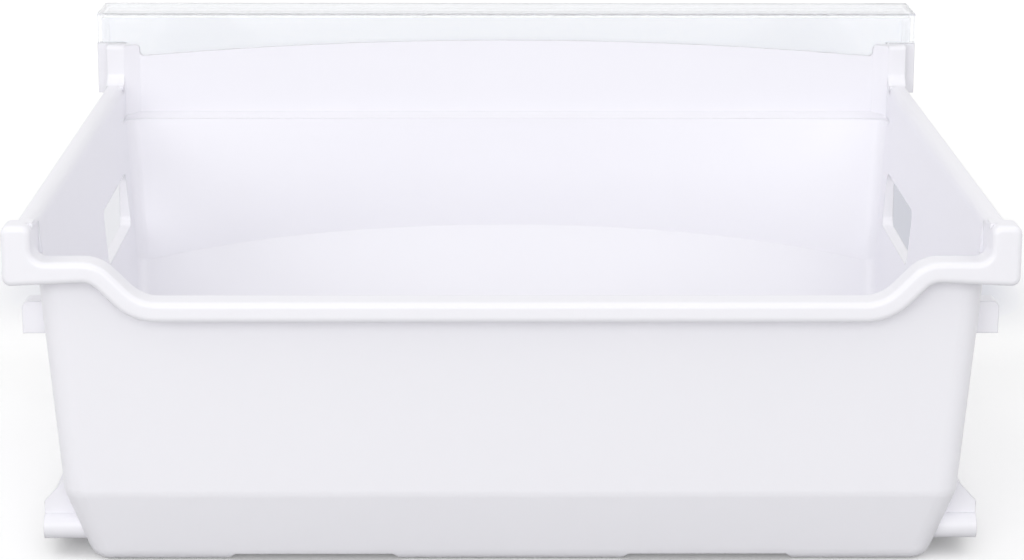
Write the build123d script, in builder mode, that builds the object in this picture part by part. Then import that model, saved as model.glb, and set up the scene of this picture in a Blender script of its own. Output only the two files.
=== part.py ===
import math
import os

from build123d import *

# A freezer drawer: one white tub with rolled rims, and a clear pull strip across its front.
# Millimetres. X runs across, +Y towards the drawer's front, +Z up. The origin is under the middle of the
# drawer, on the surface that it stands on. A "reach" runs forward from the rear edge of the rear rim.

# Overall
overall_depth = 407.0
front_width = 458.0
strip_height = 206.0

# Tub walls
wall = 2.8
rim_drop = 38.3
rim_inset = 6.0
side_draft = 10.5
rear_spread = 1.5
chamfer_height = 37.0
side_chamfer = 11.3
rear_chamfer = 13.5
rear_wall_reach = 12.5
rear_lean = 4.0
corner_radius = 10.5
floor_radius = 10.0
front_setback = 50.0
front_lean = 3.0
front_bow = 34.0
ramp_height = 87.0
ramp_angle = 44.0

# Rear rim, which dips in the middle and rises to an ear at each end
rear_rim_step = 16.7
dip_depth = 18.5
dip_inset = 48.1
dip_slope = 45.0
dip_radius = 18.0
rim_thickness = 3.0
rear_rim_drop = 9.5
rear_rim_round = 2.8
rim_edge_round = 1.2
ear_width = 13.5
ear_overhang = 5.6
ear_depth = 15.4
ear_drop = 28.0
ear_round = 4.0
ear_fillet = 6.0

# Side rims
side_rim_width = 9.6
side_rim_drop = 8.0
side_rim_round = 2.0
inner_round = 4.5

# Front band, posts and panel
crease_drop = 16.2
ledge_drop = 2.4
ledge_depth = 5.8
band_drop = 6.5
band_crown = 9.0
post_rise = 21.8
post_width = 9.8
post_step = 1.0
post_depth = 15.0
post_facet = 8.2
post_fillet = 6.0
post_round = 2.5
panel_thickness = 3.0
panel_drop = 6.2
panel_step = 9.5
panel_return = 6.0
deck_rise = 0.3

# Clear pull strip
strip_wall = 2.6
strip_round = 1.6
strip_gap = 0.3

# Hand-holes
hole_length = 98.0
hole_height = 29.5
hole_bottom = 95.0
hole_setback = 35.0
hole_radius = 5.0
collar_width = 4.0
collar_height = 2.0

# Stop tabs
tab_drop = 59.2
tab_height = 15.2
tab_reach = 38.0
tab_length = 12.0
tab_overhang = 2.6
tab_round = 3.0

# Runners
runner_bottom = 8.2
runner_height = 12.0
runner_inset = 4.0
runner_reach = 35.0
runner_wall = 3.0
gusset_rise = 18.8
gusset_drop = 13.0
gusset_thickness = 3.0

# Channels under the floor
channel_width = 74.0
channel_spacing = 184.0
channel_depth = 4.0

# Heights worked out from the above
margin = 2 * corner_radius
open_height = strip_height + margin
rim_height = strip_height - rim_drop
rear_rim_height = rim_height - rear_rim_step
dip_height = rear_rim_height - dip_depth
ear_bottom = rim_height - ear_drop
crease_height = rim_height - crease_drop
ledge_height = crease_height - ledge_drop
post_bottom = ledge_height - ledge_depth
post_height = rim_height + post_rise
band_height_end = post_height - band_drop
band_height_middle = band_height_end + band_crown
panel_bottom = rim_height - panel_drop
panel_top = post_height - panel_step
deck_top = rim_height + deck_rise
hole_z = hole_bottom + hole_height / 2
tab_bottom = rim_height - tab_drop
runner_top = runner_bottom + runner_height
gusset_top = runner_top + gusset_rise

# Half widths worked out from the above
half_front = front_width / 2
rim_outer = half_front - rim_inset
rim_inner = rim_outer - side_rim_width
half_rim = rim_inner + wall
half_crease = half_rim - side_draft
side_slope = side_draft / (rim_height - chamfer_height)
ear_outer = rim_outer + ear_overhang
ear_inner = ear_outer - ear_width
dip_foot = ear_inner - dip_inset
post_inner = rim_outer - post_width
band_half_width = post_inner - post_facet
tab_outer = rim_outer + tab_overhang
runner_outer = rim_outer - runner_inset

# Places along the depth worked out from the above
rear_y = -overall_depth / 2
front_y = overall_depth / 2
rear_wall_y = rear_y + rear_wall_reach
rear_crease_y = rear_wall_y + rear_lean
rear_slope = rear_lean / (rim_height - chamfer_height)
front_wall_y = front_y - front_setback
ramp_run = 1 / math.tan(math.radians(ramp_angle))
ramp_top_y = front_wall_y - front_lean * (1 - ramp_height / rim_height)
ramp_foot_y = ramp_top_y - ramp_height * ramp_run
band_inner_y = front_wall_y - wall + ledge_depth
band_outer_y = band_inner_y + wall
post_y = front_wall_y - post_step
panel_outer_y = post_y + post_depth
panel_inner_y = panel_outer_y - panel_thickness
strip_y = panel_inner_y - strip_gap - strip_wall
hole_y = front_wall_y - hole_setback - hole_length / 2
tab_y = rear_y + tab_reach
runner_y = rear_y + runner_reach
runner_end_y = ramp_foot_y + runner_top * ramp_run
gusset_y = runner_y + runner_height / 2


def half_width(height, y):
    """Outer half width of the tub at a height and a place along its depth."""
    half = half_crease + rear_spread * (front_y - y) / overall_depth
    if height < chamfer_height:
        return half - side_chamfer * (1 - height / chamfer_height)
    return half + side_slope * (height - chamfer_height)


def rear_face_y(height):
    """Place of the rear wall's outer face at a height."""
    if height < chamfer_height:
        return rear_crease_y + rear_chamfer * (1 - height / chamfer_height)
    return rear_crease_y - rear_slope * (height - chamfer_height)


def tub_plan(height, inset, radius):
    """Plan of the tub at a height, with its walls moved in by inset and its front left to run on."""
    back_y = rear_face_y(height) + inset
    back = half_width(height, back_y) - inset
    front = half_width(height, front_y) - inset
    with BuildSketch(Plane.XY.offset(height)) as plan:
        Polygon((-back, back_y), (back, back_y), (front, front_y), (-front, front_y), align=None)
        if radius:
            fillet(plan.vertices().group_by(Axis.Y)[0], radius=radius)
    return plan.sketch.face()


def tub_block(inset, radius):
    """The tub's sides and rear as a solid block, with its walls moved in by inset."""
    plans = [tub_plan(height, inset, radius) for height in (inset, chamfer_height, open_height)]
    with BuildPart() as block:
        loft(sections=plans, ruled=True)
    return block.part


def front_plan(height, wall_y, bow):
    """Plan, at a height, of everything behind a front wall whose middle stands forward by bow."""
    reach = half_rim + margin
    back_y = rear_y - margin
    end_y = wall_y
    if bow:
        radius = (half_rim**2 + bow**2) / (2 * bow)
        end_y = wall_y - radius + math.sqrt(radius**2 - reach**2)
    with BuildSketch(Plane.XY.offset(height)) as plan:
        with BuildLine():
            if bow:
                ThreePointArc((-reach, end_y), (0, wall_y), (reach, end_y))
            else:
                Line((-reach, end_y), (reach, end_y))
            Polyline((reach, end_y), (reach, back_y), (-reach, back_y), (-reach, end_y))
        make_face()
    return plan.sketch.face()


def tub_core(inset):
    """The tub as a solid block up to the rim, with every wall moved in by inset."""
    block = tub_block(inset, corner_radius - inset)
    foot_plan = front_plan(0, front_wall_y - front_lean - inset, front_bow)
    rim_plan = front_plan(rim_height, front_wall_y - inset, 0)
    with BuildPart() as core:
        add(block)
        with BuildSketch(Plane.YZ):
            Polygon(
                (rear_y - margin, 0),
                (ramp_foot_y, 0),
                (ramp_foot_y + open_height * ramp_run, open_height),
                (rear_y - margin, open_height),
                align=None,
            )
            offset(amount=-inset, kind=Kind.INTERSECTION)
        extrude(amount=front_width, both=True, mode=Mode.INTERSECT)
        loft(sections=[foot_plan, rim_plan], ruled=True, mode=Mode.INTERSECT)
        low_edges = core.edges().filter_by(lambda edge: edge.center().Z < rim_height - wall)
        crest = low_edges.filter_by(lambda edge: abs(edge.center().X) < wall).sort_by(Axis.Y)[-1]
        corner_seams = low_edges.filter_by(
            lambda edge: edge.center().Y < 0 and edge.bounding_box().size.Z > wall
        )
        fillet(low_edges - corner_seams - [crest], radius=floor_radius - inset)
    return core.part


def rear_line(drop):
    """Corners of the rear rim's line between the ears, set down by drop at right angles to it."""
    slope = math.radians(dip_slope)
    foot = dip_foot + drop * math.tan(slope / 2)
    shoulder = foot + dip_depth / math.tan(slope)
    high = rear_rim_height - drop
    low = dip_height - drop
    return [(-shoulder, high), (-foot, low), (foot, low), (shoulder, high)]


def rear_radii(drop):
    """Radii of the rear rim's line at its corners, set down by drop."""
    return [dip_radius - drop, dip_radius + drop, dip_radius + drop, dip_radius - drop]


def ear_line(inset, bottom):
    """Corners of the left ear's outline from the bottom of its outer side, moved in by inset."""
    outer = inset - ear_outer
    inner = -inset - ear_inner
    top = rim_height - inset
    return [(outer, bottom), (outer, top), (inner, top), (inner, rear_rim_height - inset)]


def mirrored(points):
    """The same points on the other side, in the opposite order."""
    return [(-x, z) for x, z in reversed(points)]


def rim_round(y):
    """Section, at a place along the depth, of the space over the right side rim's rounded inner edge."""
    inner = half_width(rim_height, y) - wall
    foot = (inner - side_slope * inner_round, rim_height - inner_round)
    top = (inner + inner_round, rim_height)
    with BuildSketch(Plane.XZ.offset(-y)) as section:
        with BuildLine():
            TangentArc(foot, top, tangent=(side_slope, 1))
            Polyline(top, (inner + inner_round, open_height), (foot[0], open_height), foot)
        make_face()
    return section.sketch.face()


def channel_profile(width, bottom, top):
    """Cross-section of one channel under the floor, with sides at 45 degrees, as an XZ outline."""
    half = width / 2
    return [(-half - top + bottom, bottom), (half + top - bottom, bottom), (half, top), (-half, top)]


outer_core = tub_core(0)
inner_core = tub_core(wall)
square_block = tub_block(0, 0)
square_inside = tub_block(wall, 0)
rim_rounds = [rim_round(rear_y + ear_depth), rim_round(post_y - post_fillet)]

# Hollow of the tub, with the floor raised over each channel
with BuildPart() as cavity:
    add(inner_core)
    with BuildSketch(Plane.XZ.offset(-front_y)):
        with Locations((-channel_spacing / 2, 0), (channel_spacing / 2, 0)):
            Polygon(*channel_profile(channel_width, 0, channel_depth + wall), align=None)
    extrude(amount=overall_depth, mode=Mode.SUBTRACT)

# Space over the ledge of the front wall, between the front posts
with BuildPart() as band_recess:
    with BuildSketch(Plane.XY.offset(ledge_height)):
        Polygon(
            (-post_inner, front_wall_y - margin),
            (post_inner, front_wall_y - margin),
            (post_inner, post_y),
            (band_half_width, band_inner_y),
            (-band_half_width, band_inner_y),
            (-post_inner, post_y),
            align=None,
        )
    extrude(amount=open_height - crease_height)
    with BuildSketch(Plane.YZ):
        Polygon(
            (front_wall_y - 2 * margin, ledge_height),
            (front_wall_y - wall, ledge_height),
            (band_inner_y, crease_height),
            (band_inner_y, open_height),
            (front_wall_y - 2 * margin, open_height),
            align=None,
        )
    extrude(amount=half_front, both=True, mode=Mode.INTERSECT)

# Rear rim and ears in one piece, hollow from below behind a turned-down lip
with BuildPart() as rear_frame:
    with BuildSketch(Plane.XZ.offset(-rear_y - ear_depth)):
        ear = ear_line(0, ear_bottom)
        ear_radii = [ear_round, ear_round, ear_round, ear_fillet]
        top_radii = ear_radii + rear_radii(0) + ear_radii[::-1]
        with BuildLine():
            FilletPolyline(
                *ear,
                *rear_line(0),
                *mirrored(ear),
                *reversed(rear_line(rear_rim_drop)),
                radius=top_radii + rear_radii(rear_rim_drop),
                close=True,
            )
        make_face()
    extrude(amount=ear_depth)
    fillet(rear_frame.faces().sort_by(Axis.Y)[0].edges(), radius=rear_rim_round)
    fillet(rear_frame.faces().sort_by(Axis.Y)[-1].edges(), radius=rim_edge_round)
    with BuildSketch(Plane.XZ.offset(-rear_y - ear_depth)):
        ear_hollow = ear_line(rim_thickness, dip_height - margin)
        sharp = [0.0] * len(ear_hollow)
        with BuildLine():
            FilletPolyline(
                *ear_hollow,
                *rear_line(rim_thickness),
                *mirrored(ear_hollow),
                radius=sharp + rear_radii(rim_thickness) + sharp,
                close=True,
            )
        make_face()
    extrude(amount=ear_depth - rim_thickness, mode=Mode.SUBTRACT)

# Ends of the side walls, which run straight back into the ears
with BuildPart() as wall_ends:
    add(square_block)
    add(square_inside, mode=Mode.SUBTRACT)
    with BuildSketch(Plane.XY.offset(ear_bottom)):
        end_middle = (ear_inner + rim_outer) / 2
        end_length = ear_depth + corner_radius - rim_thickness
        with Locations((-end_middle, rear_y + rim_thickness), (end_middle, rear_y + rim_thickness)):
            Rectangle(rim_outer - ear_inner, end_length, align=(Align.CENTER, Align.MIN))
    extrude(amount=ear_drop, mode=Mode.INTERSECT)

# What stands out on the sides, made on the right and mirrored
with BuildPart() as side_fittings:
    # Side rim with its turned-down lip
    with BuildSketch(Plane.XZ.offset(-panel_inner_y)):
        with BuildLine():
            Polyline(
                (half_rim - wall / 2, rim_height),
                (rim_outer, rim_height),
                (rim_outer, rim_height - side_rim_drop),
                (rim_outer - rim_thickness, rim_height - side_rim_drop),
                (rim_outer - rim_thickness, rim_height - rim_thickness),
                (half_rim - wall / 2, rim_height - rim_thickness),
                close=True,
            )
        rim_face = make_face()
        fillet(rim_face.vertices().group_by(Axis.X)[-1].sort_by(Axis.Y)[-1], radius=side_rim_round)
    extrude(amount=panel_inner_y - rear_y - ear_depth / 2)
    # Front post, rising from the side rim in a hollow curve
    with BuildSketch(Plane.YZ.offset(post_inner)):
        with BuildLine():
            Polyline(
                (post_y - post_fillet, rim_height),
                (post_y - post_fillet, post_bottom),
                (panel_outer_y, post_bottom),
                (panel_outer_y, post_height),
                (post_y + post_round, post_height),
            )
            RadiusArc((post_y + post_round, post_height), (post_y, post_height - post_round), -post_round)
            Line((post_y, post_height - post_round), (post_y, rim_height + post_fillet))
            RadiusArc((post_y, rim_height + post_fillet), (post_y - post_fillet, rim_height), post_fillet)
        make_face()
    extrude(amount=post_width)
    # Return at the end of the front panel
    with BuildSketch(Plane.XY.offset(panel_bottom)):
        Polygon(
            (rim_outer - rim_thickness, panel_outer_y - panel_return),
            (half_front, panel_outer_y - panel_return),
            (half_front, panel_outer_y),
            (rim_outer - rim_thickness, panel_outer_y),
            align=None,
        )
    extrude(amount=post_height - panel_bottom)
    # Collar round the hand-hole
    with BuildSketch(Plane.YZ.offset(rim_inner - corner_radius)):
        with Locations((hole_y, hole_z)):
            RectangleRounded(
                hole_length + 2 * collar_width,
                hole_height + 2 * collar_width,
                hole_radius + collar_width,
            )
    extrude(amount=half_width(hole_z, hole_y) + collar_height - rim_inner + corner_radius)
    # Stop tab under the ear
    with BuildSketch(Plane.XZ.offset(-tab_y - tab_length)):
        tab_inner = half_width(tab_bottom, tab_y) - wall
        with BuildLine():
            Polyline(
                (tab_inner, tab_bottom),
                (tab_outer, tab_bottom),
                (tab_outer, tab_bottom + tab_height),
                (tab_inner, tab_bottom + tab_height),
                close=True,
            )
        tab_face = make_face()
        fillet(tab_face.vertices().group_by(Axis.X)[-1].sort_by(Axis.Y)[-1], radius=tab_round)
    extrude(amount=tab_length)
    # Runner with a round nose
    runner_inner = half_width(runner_bottom, runner_end_y) - wall
    with BuildSketch(Plane.YZ.offset(runner_inner)):
        with BuildLine():
            Polyline(
                (gusset_y, runner_bottom),
                (runner_end_y, runner_bottom),
                (runner_end_y, runner_top),
                (gusset_y, runner_top),
            )
            ThreePointArc(
                (gusset_y, runner_top),
                (runner_y, runner_bottom + runner_height / 2),
                (gusset_y, runner_bottom),
            )
        make_face()
    extrude(amount=runner_outer - runner_inner)
    # Gusset over the runner, behind its nose
    with BuildSketch(Plane.XZ.offset(-gusset_y - gusset_thickness)):
        Polygon(
            (half_width(gusset_top, gusset_y) - wall, gusset_top),
            (half_width(gusset_top, gusset_y), gusset_top),
            (runner_outer, gusset_top - gusset_drop),
            (runner_outer, runner_bottom + runner_height / 2),
            (runner_inner, runner_bottom + runner_height / 2),
            align=None,
        )
    extrude(amount=gusset_thickness)
    mirror(about=Plane.YZ)

# What is hollow or rounded off on the sides, made on the right and mirrored
with BuildPart() as side_hollows:
    # Round along the inner edge of the side rim
    loft(sections=rim_rounds, ruled=True)
    # Inside of the post
    with BuildSketch(Plane.XY.offset(post_bottom)):
        Polygon(
            (post_inner + rim_thickness, post_y + rim_thickness),
            (rim_outer - rim_thickness, post_y + rim_thickness),
            (rim_outer - rim_thickness, panel_inner_y),
            (post_inner + rim_thickness, panel_inner_y),
            align=None,
        )
    extrude(amount=post_height - rim_thickness - post_bottom)
    # Groove under the runner
    with BuildSketch(Plane.XY.offset(runner_bottom)):
        groove_inner = half_width(runner_top, runner_y) + runner_wall
        Polygon(
            (groove_inner, gusset_y + gusset_thickness),
            (runner_outer - runner_wall, gusset_y + gusset_thickness),
            (runner_outer - runner_wall, runner_end_y - runner_wall),
            (groove_inner, runner_end_y - runner_wall),
            align=None,
        )
    extrude(amount=runner_height - runner_wall)
    mirror(about=Plane.YZ)

# What joins the walls of the tub: the rims, the front band with its posts and panel, the side fittings
with BuildPart() as outworks:
    add(rear_frame.part)
    # Front band with its crowned top, and the body of the posts
    with BuildSketch(Plane.YZ.offset(-post_inner)):
        Polygon(
            (front_wall_y - corner_radius, post_bottom - ledge_depth),
            (front_wall_y, post_bottom - ledge_depth),
            (band_outer_y, post_bottom),
            (band_outer_y, band_height_middle),
            (front_wall_y - corner_radius, band_height_middle),
            align=None,
        )
    extrude(amount=2 * post_inner)
    add(side_fittings.part)
    with BuildSketch(Plane.XZ.offset(-front_y)):
        with BuildLine():
            Polyline(
                (band_half_width, band_height_end),
                (band_half_width, post_height),
                (half_front, post_height),
                (half_front, open_height),
                (-half_front, open_height),
                (-half_front, post_height),
                (-band_half_width, post_height),
                (-band_half_width, band_height_end),
            )
            ThreePointArc(
                (-band_half_width, band_height_end),
                (0, band_height_middle),
                (band_half_width, band_height_end),
            )
        over_band = make_face()
        shoulders = over_band.vertices().filter_by(
            lambda corner: abs(abs(corner.X) - band_half_width) < rim_edge_round
        )
        fillet(shoulders, radius=post_round)
    extrude(amount=front_y - post_y + margin, mode=Mode.SUBTRACT)
    # Front panel, and the deck that closes the channel behind it
    with BuildSketch(Plane.XZ.offset(-panel_outer_y)):
        Polygon(
            (-half_front, panel_bottom),
            (half_front, panel_bottom),
            (half_front, post_height),
            (post_inner, post_height),
            (post_inner, panel_top),
            (-post_inner, panel_top),
            (-post_inner, post_height),
            (-half_front, post_height),
            align=None,
        )
    extrude(amount=panel_thickness)
    with BuildSketch(Plane.YZ.offset(-post_inner)):
        Polygon(
            (band_inner_y, deck_top - rim_thickness),
            (panel_outer_y, deck_top - rim_thickness),
            (panel_outer_y, deck_top),
            (band_inner_y, deck_top),
            align=None,
        )
    extrude(amount=2 * post_inner)
    add(cavity.part, mode=Mode.SUBTRACT)

# The tub, one moulding
with BuildPart() as drawer_tub:
    add(outer_core)
    add(cavity.part, mode=Mode.SUBTRACT)
    # Rear wall lowered to the line of its rim
    with BuildSketch(Plane.XZ.offset(-rear_y)):
        cut_line = rear_line(rim_thickness / 2)
        cut_end = (ear_inner, cut_line[-1][1])
        cut_top = (ear_inner, open_height)
        with BuildLine():
            FilletPolyline(
                *mirrored([cut_end, cut_top]),
                *cut_line,
                cut_end,
                cut_top,
                radius=[0.0, *rear_radii(rim_thickness / 2), 0.0],
            )
            Line(cut_top, (-ear_inner, open_height))
        make_face()
    extrude(amount=-(ear_depth + corner_radius), mode=Mode.SUBTRACT)
    add(wall_ends.part)
    add(outworks.part)
    add(band_recess.part, mode=Mode.SUBTRACT)
    add(side_hollows.part, mode=Mode.SUBTRACT)
    # Hand-holes through both sides
    with BuildSketch(Plane.YZ):
        with Locations((hole_y, hole_z)):
            RectangleRounded(hole_length, hole_height, hole_radius)
    extrude(amount=half_front, both=True, mode=Mode.SUBTRACT)
    # Channels under the floor
    with BuildSketch(Plane.XZ.offset(-front_y)):
        with Locations((-channel_spacing / 2, 0), (channel_spacing / 2, 0)):
            Polygon(*channel_profile(channel_width, 0, channel_depth), align=None)
    extrude(amount=overall_depth, mode=Mode.SUBTRACT)

drawer_tub.part.label = "drawer_tub"

# The clear pull strip: a hook section with end walls, standing in the channel of the front panel
with BuildPart() as handle_strip:
    with BuildSketch(Plane.YZ.offset(-half_front)):
        with BuildLine():
            Polyline(
                (strip_y, post_height + strip_gap),
                (strip_y, strip_height),
                (front_y, strip_height),
                (front_y, panel_bottom),
                (front_y - strip_wall, panel_bottom),
                (front_y - strip_wall, strip_height - strip_wall),
                (strip_y + strip_wall, strip_height - strip_wall),
                (strip_y + strip_wall, post_height + strip_gap),
                close=True,
            )
        hook = make_face()
        fillet(hook.vertices().group_by(Axis.Y)[-1], radius=strip_round)
    extrude(amount=front_width)
    # Tongue in the channel
    with BuildSketch(Plane.YZ.offset(-post_inner + strip_gap)):
        Polygon(
            (strip_y, deck_top),
            (strip_y + strip_wall, deck_top),
            (strip_y + strip_wall, strip_height - strip_wall),
            (strip_y, strip_height - strip_wall),
            align=None,
        )
    extrude(amount=2 * (post_inner - strip_gap))
    # End walls
    with BuildSketch(Plane.YZ.offset(-half_front), Plane.YZ.offset(half_front - strip_wall)):
        with BuildLine():
            Polyline(
                (panel_outer_y + strip_gap, panel_bottom),
                (front_y, panel_bottom),
                (front_y, strip_height),
                (strip_y, strip_height),
                (strip_y, post_height + strip_gap),
                (panel_outer_y + strip_gap, post_height + strip_gap),
                close=True,
            )
        end_wall = make_face()
        fillet(end_wall.vertices().group_by(Axis.Y)[-1], radius=strip_round)
    extrude(amount=strip_wall)

handle_strip.part.label = "handle_strip"

os.makedirs("parts", exist_ok=True)
export_step(drawer_tub.part, "parts/drawer_tub.step")
export_step(handle_strip.part, "parts/handle_strip.step")
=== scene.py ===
"""Looks of a white freezer drawer with a clear pull strip, in a plain white studio.

Lengths are in metres, in the part's own frame.
"""

import math

import bpy
from mathutils import Matrix, Vector

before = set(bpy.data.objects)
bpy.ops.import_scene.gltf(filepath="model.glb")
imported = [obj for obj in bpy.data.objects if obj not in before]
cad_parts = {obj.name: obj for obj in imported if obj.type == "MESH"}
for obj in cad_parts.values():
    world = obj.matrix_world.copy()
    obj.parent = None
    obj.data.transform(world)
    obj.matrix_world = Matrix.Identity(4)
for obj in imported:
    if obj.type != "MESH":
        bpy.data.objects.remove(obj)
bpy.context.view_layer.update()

# Camera, fitted to the photograph's 1024 by 560 frame
CAMERA_PLACE = (-0.0119, -1.5314, 0.4721)
CAMERA_PITCH = 13.91
CAMERA_YAW = 0.514
CAMERA_ROLL = 0.116
CAMERA_LENS = 107.37
SENSOR_WIDTH = 36.0

WHITE = (1.0, 1.0, 1.0, 1.0)

# White moulded plastic of the tub; texture scales are waves per metre
TUB_COLOUR = (0.9, 0.893, 0.937, 1.0)
TUB_SHADE = (0.884, 0.878, 0.923, 1.0)
TUB_ROUGHNESS = (0.3, 0.42)
TUB_EDGE = 0.0009
CLOUD_SCALE = 7.0
CLOUD_DETAIL = 2.0
SHEEN_SCALE = 45.0
SHEEN_DETAIL = 3.0
GRAIN_SCALE = 1400.0
GRAIN_DETAIL = 2.0
GRAIN_DEPTH = 0.00002

# Clear plastic of the strip
STRIP_COLOUR = (0.91, 0.92, 0.945, 1.0)
STRIP_ROUGHNESS = (0.012, 0.04)
STRIP_IOR = 1.4
STRIP_CLEARNESS = 1.0
STRIP_BODY = 0.8
STRIP_EDGE = 0.0006
FLOW_SCALE = 30.0
FLOW_DETAIL = 1.0
HAZE_DETAIL = 2.0
FLOW_DEPTH = 0.00006

# Studio
FLOOR_SIZE = 12.0
FLOOR_BOUNCE = (0.48, 0.48, 0.48, 1.0)
# Colour of the painted shadow on the floor
PAINTED_SHADOW_COLOUR = (0.56, 0.57, 0.64, 1.0)
FLOOR_ROUGHNESS = 0.9
FLOOR_GLOW = (0.13, 0.25)
FLOOR_FADE = (0.5, 1.4)

# Painted shadow in the floor's colour beyond the drawer's front, deeper on the right:
# its depth on both sides, and where it ends at the sides, starts and stops
PAINTED_SHADOW_DEPTH = (0.55, 1.0)
PAINTED_SHADOW_SIDES = (0.29, 0.35)
PAINTED_SHADOW_START = (0.22, 0.36)
PAINTED_SHADOW_STOP = (0.75, 1.05)

WORLD_LIGHT = 0.7

# Lamps: place, point that they aim at, width and height, and power in watts
LAMPS = {
    "key_light": ((-0.3, -2.4, 0.78), (0.0, 0.0, 0.1), (2.2, 1.2), 24.0),
    "left_light": ((-1.6, -0.2, 1.9), (0.0, 0.0, 0.0), (1.6, 1.6), 7.5),
    "right_light": ((1.6, -0.2, 1.9), (0.0, 0.0, 0.0), (1.6, 1.6), 6.0),
}


def new_material(name):
    """A new node material: the material, its node tree and its Principled shader."""
    material = bpy.data.materials.new(name)
    material.use_nodes = True
    tree = material.node_tree
    return material, tree, tree.nodes["Principled BSDF"]


def noise(tree, scale, detail):
    """A noise value over the object's own coordinates."""
    place = tree.nodes.new("ShaderNodeTexCoord")
    texture = tree.nodes.new("ShaderNodeTexNoise")
    texture.inputs["Scale"].default_value = scale
    texture.inputs["Detail"].default_value = detail
    tree.links.new(place.outputs["Object"], texture.inputs["Vector"])
    return texture.outputs["Fac"]


def ranged(tree, value, low, high):
    """A value from 0 to 1 spread over a range."""
    spread = tree.nodes.new("ShaderNodeMapRange")
    spread.inputs["To Min"].default_value = low
    spread.inputs["To Max"].default_value = high
    tree.links.new(value, spread.inputs["Value"])
    return spread.outputs["Result"]


def soft_edges(tree, radius):
    """A normal that rounds the sharp edges of the solid."""
    bevel = tree.nodes.new("ShaderNodeBevel")
    bevel.inputs["Radius"].default_value = radius
    return bevel.outputs["Normal"]


def relief(tree, height, depth, normal):
    """A normal that adds a fine relief to another normal."""
    bump = tree.nodes.new("ShaderNodeBump")
    bump.inputs["Distance"].default_value = depth
    tree.links.new(height, bump.inputs["Height"])
    tree.links.new(normal, bump.inputs["Normal"])
    return bump.outputs["Normal"]


def tub_material():
    material, tree, shader = new_material("tub_plastic_white")
    blend = tree.nodes.new("ShaderNodeValToRGB")
    blend.color_ramp.elements[0].color = TUB_SHADE
    blend.color_ramp.elements[1].color = TUB_COLOUR
    tree.links.new(noise(tree, CLOUD_SCALE, CLOUD_DETAIL), blend.inputs["Fac"])
    tree.links.new(blend.outputs["Color"], shader.inputs["Base Color"])
    sheen = ranged(tree, noise(tree, SHEEN_SCALE, SHEEN_DETAIL), *TUB_ROUGHNESS)
    tree.links.new(sheen, shader.inputs["Roughness"])
    grain = relief(tree, noise(tree, GRAIN_SCALE, GRAIN_DETAIL), GRAIN_DEPTH, soft_edges(tree, TUB_EDGE))
    tree.links.new(grain, shader.inputs["Normal"])
    return material


def strip_material():
    material, tree, shader = new_material("clear_plastic_polished")
    shader.inputs["Base Color"].default_value = STRIP_COLOUR
    shader.inputs["IOR"].default_value = STRIP_IOR
    shader.inputs["Transmission Weight"].default_value = STRIP_CLEARNESS
    shader.inputs["Alpha"].default_value = STRIP_BODY
    haze = ranged(tree, noise(tree, FLOW_SCALE, HAZE_DETAIL), *STRIP_ROUGHNESS)
    tree.links.new(haze, shader.inputs["Roughness"])
    flow = relief(tree, noise(tree, FLOW_SCALE, FLOW_DETAIL), FLOW_DEPTH, soft_edges(tree, STRIP_EDGE))
    tree.links.new(flow, shader.inputs["Normal"])
    return material


def dress(node, material):
    """Puts a material in every slot of a CAD node."""
    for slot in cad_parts[node].material_slots:
        slot.material = material


def make_camera():
    data = bpy.data.cameras.new("camera")
    data.lens = CAMERA_LENS
    data.sensor_width = SENSOR_WIDTH
    data.sensor_fit = "HORIZONTAL"
    camera = bpy.data.objects.new("camera", data)
    turn = Matrix.Rotation(math.radians(-CAMERA_YAW), 4, "Z")
    tilt = Matrix.Rotation(math.radians(90.0 - CAMERA_PITCH), 4, "X")
    roll = Matrix.Rotation(math.radians(CAMERA_ROLL), 4, "Z")
    camera.matrix_world = Matrix.Translation(CAMERA_PLACE) @ turn @ tilt @ roll
    bpy.context.scene.collection.objects.link(camera)
    bpy.context.scene.camera = camera


def eased(tree, value, start, stop, low, high):
    """A value eased from low to high while the input runs from start to stop."""
    ease = tree.nodes.new("ShaderNodeMapRange")
    ease.interpolation_type = "SMOOTHSTEP"
    for name, number in zip(("From Min", "From Max", "To Min", "To Max"), (start, stop, low, high)):
        ease.inputs[name].default_value = number
    tree.links.new(value, ease.inputs["Value"])
    return ease.outputs["Result"]


def combined(tree, operation, first, second):
    """Two values put together by a maths node."""
    node = tree.nodes.new("ShaderNodeMath")
    node.operation = operation
    tree.links.new(first, node.inputs[0])
    tree.links.new(second, node.inputs[1])
    return node.outputs[0]


def seen_directly(tree):
    """A value that is 1 for camera, glossy and transmission rays, and 0 for all other rays."""
    path = tree.nodes.new("ShaderNodeLightPath").outputs
    mirrored = combined(tree, "MAXIMUM", path["Is Glossy Ray"], path["Is Transmission Ray"])
    return combined(tree, "MAXIMUM", path["Is Camera Ray"], mirrored)


def make_world():
    world = bpy.data.worlds.new("studio")
    world.use_nodes = True
    tree = world.node_tree
    light = tree.nodes["Background"]
    light.inputs["Color"].default_value = WHITE
    light.inputs["Strength"].default_value = WORLD_LIGHT
    white = tree.nodes.new("ShaderNodeBackground")
    white.inputs["Color"].default_value = WHITE
    mix = tree.nodes.new("ShaderNodeMixShader")
    tree.links.new(seen_directly(tree), mix.inputs["Fac"])
    tree.links.new(light.outputs[0], mix.inputs[1])
    tree.links.new(white.outputs[0], mix.inputs[2])
    tree.links.new(mix.outputs[0], tree.nodes["World Output"].inputs["Surface"])
    bpy.context.scene.world = world


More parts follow.
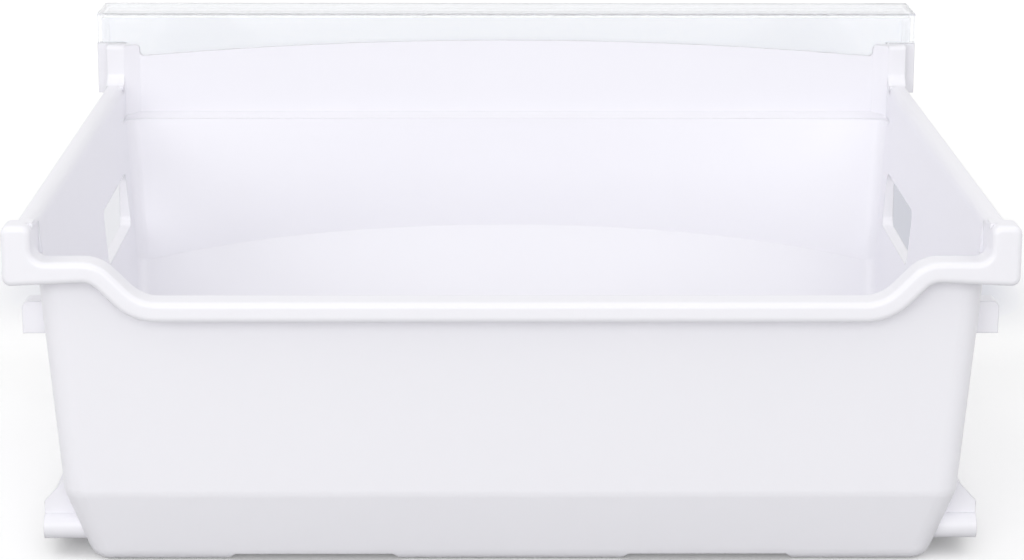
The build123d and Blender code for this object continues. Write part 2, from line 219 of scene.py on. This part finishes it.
def make_floor():
    """A white floor that shows the drawer's real shadow and fades to white far off.

    Beyond the drawer's front its colour holds a painted shadow, a grey patch deeper on the right. It
    throws less light up than it shows.
    """
    bpy.ops.mesh.primitive_plane_add(size=FLOOR_SIZE)
    floor = bpy.context.object
    floor.name = "floor"
    material, tree, shader = new_material("floor_white_painted_shadow")
    seen = seen_directly(tree)
    place = tree.nodes.new("ShaderNodeTexCoord").outputs["Object"]
    axes = tree.nodes.new("ShaderNodeSeparateXYZ")
    tree.links.new(place, axes.inputs[0])
    across = tree.nodes.new("ShaderNodeMath")
    across.operation = "ABSOLUTE"
    tree.links.new(axes.outputs["X"], across.inputs[0])
    # Painted shadow: a grey patch in the floor's colour beyond the drawer's front, deeper on the right
    sides = eased(tree, across.outputs[0], *PAINTED_SHADOW_SIDES, 1.0, 0.0)
    start = eased(tree, axes.outputs["Y"], *PAINTED_SHADOW_START, 0.0, 1.0)
    stop = eased(tree, axes.outputs["Y"], *PAINTED_SHADOW_STOP, 1.0, 0.0)
    depth = eased(tree, axes.outputs["X"], -PAINTED_SHADOW_SIDES[0], PAINTED_SHADOW_SIDES[0], *PAINTED_SHADOW_DEPTH)
    painted_shadow_patch = combined(tree, "MULTIPLY", sides, combined(tree, "MULTIPLY", start, stop))
    painted_shadow_ramp = tree.nodes.new("ShaderNodeValToRGB")
    painted_shadow_ramp.color_ramp.elements[0].color = WHITE
    painted_shadow_ramp.color_ramp.elements[1].color = PAINTED_SHADOW_COLOUR
    tree.links.new(combined(tree, "MULTIPLY", painted_shadow_patch, depth), painted_shadow_ramp.inputs["Fac"])
    tree.links.new(painted_shadow_ramp.outputs["Color"], shader.inputs["Base Color"])
    shader.inputs["Roughness"].default_value = FLOOR_ROUGHNESS
    bounce = tree.nodes.new("ShaderNodeBsdfDiffuse")
    bounce.inputs["Color"].default_value = FLOOR_BOUNCE
    surface = tree.nodes.new("ShaderNodeMixShader")
    tree.links.new(seen, surface.inputs["Fac"])
    tree.links.new(bounce.outputs[0], surface.inputs[1])
    tree.links.new(shader.outputs[0], surface.inputs[2])
    far = tree.nodes.new("ShaderNodeVectorMath")
    far.operation = "LENGTH"
    tree.links.new(place, far.inputs[0])
    fade = eased(tree, far.outputs["Value"], *FLOOR_FADE, *FLOOR_GLOW)
    glow = tree.nodes.new("ShaderNodeEmission")
    tree.links.new(combined(tree, "MULTIPLY", fade, seen), glow.inputs["Strength"])
    both = tree.nodes.new("ShaderNodeAddShader")
    tree.links.new(surface.outputs[0], both.inputs[0])
    tree.links.new(glow.outputs[0], both.inputs[1])
    tree.links.new(both.outputs[0], tree.nodes["Material Output"].inputs["Surface"])
    floor.data.materials.append(material)


def make_lamp(name, place, aim, size, power):
    data = bpy.data.lights.new(name, "AREA")
    data.shape = "RECTANGLE"
    data.size, data.size_y = size
    data.energy = power
    lamp = bpy.data.objects.new(name, data)
    lamp.location = place
    lamp.rotation_euler = (Vector(aim) - Vector(place)).to_track_quat("-Z", "Y").to_euler()
    bpy.context.scene.collection.objects.link(lamp)


dress("drawer_tub", tub_material())
dress("handle_strip", strip_material())
make_camera()
make_world()
make_floor()
for lamp_name, values in LAMPS.items():
    make_lamp(lamp_name, *values)
bpy.context.scene.view_settings.view_transform = "Standard"
